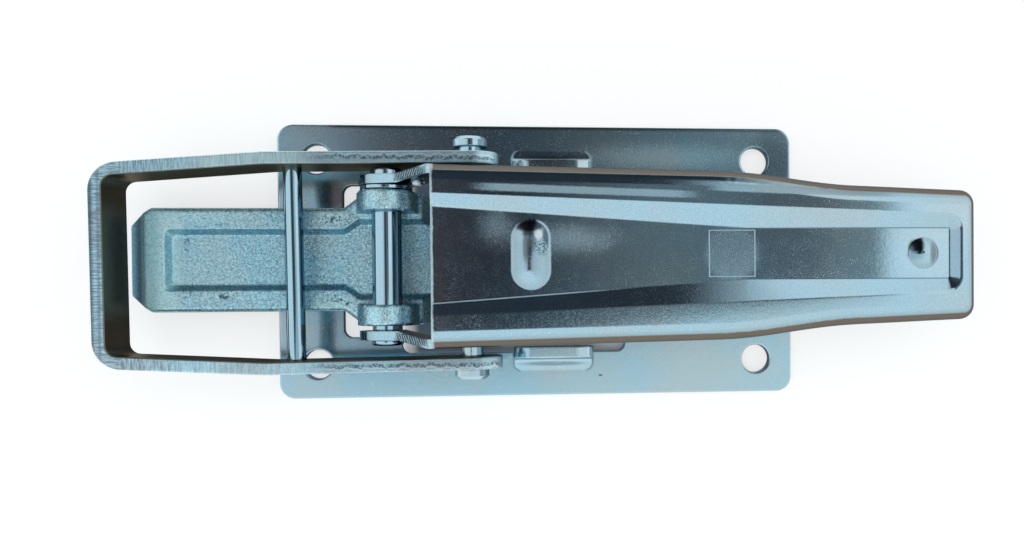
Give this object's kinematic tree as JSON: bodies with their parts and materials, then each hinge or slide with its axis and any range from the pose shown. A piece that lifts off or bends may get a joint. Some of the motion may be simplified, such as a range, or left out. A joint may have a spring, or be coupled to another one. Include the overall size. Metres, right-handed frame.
{
  "type": "over centre toggle latch",
  "caption": "Heavy over centre toggle latch: a lever pulls a long steel bail over a forged nose on a bolted plate and locks past centre.",
  "frame": {"origin": "middle of the four bolt holes, on the back face of the base plate", "axes": "+Z out of the plate, +X towards the grip of the closed handle, -X towards the nose and the bail, +Y across"},
  "size_m": [0.2368, 0.08, 0.0397],
  "materials": {
    "plate_zinc": "bright zinc plated sheet with a faint rolled grain",
    "pressed_zinc": "bright zinc plated deep drawn sheet, glossy, lightly speckled",
    "forged_zinc": "zinc plated forging with a rough grained skin",
    "bar_zinc": "zinc plated flat bar with sheared edges",
    "turned_zinc": "zinc plated, smooth and glossy"
  },
  "bodies": {
    "root": {"base_plate": "plate_zinc", "nose_forging": "forged_zinc", "nose_screws": "turned_zinc", "handle_pivot_pin": "turned_zinc", "pivot_washer": "turned_zinc"},
    "lever": {"handle": "pressed_zinc"},
    "bail_pin": {"bail_rivet": "turned_zinc"},
    "loop": {"bail": "bar_zinc", "cross_rod": "turned_zinc"}
  },
  "joints": [
    {"name": "handle_hinge", "type": "hinge", "parent": "root", "child": "lever", "pos_m": [-0.0419, 0, 0.0235], "axis": [0, -1, 0], "range_deg": [0, 105]},
    {"name": "bail_follow", "type": "hinge", "parent": "lever", "child": "bail_pin", "pos_m": [-0.0192, 0, 0.022], "axis": [0, -1, 0], "range_deg": [-106, 1]},
    {"name": "bail_lift", "type": "hinge", "parent": "bail_pin", "child": "loop", "pos_m": [-0.0192, 0, 0.022], "axis": [0, 1, 0], "range_deg": [0, 45]}
  ],
  "couplings": [
    {"joint": "bail_follow", "follows": "handle_hinge", "ratio": -1}
  ]
}
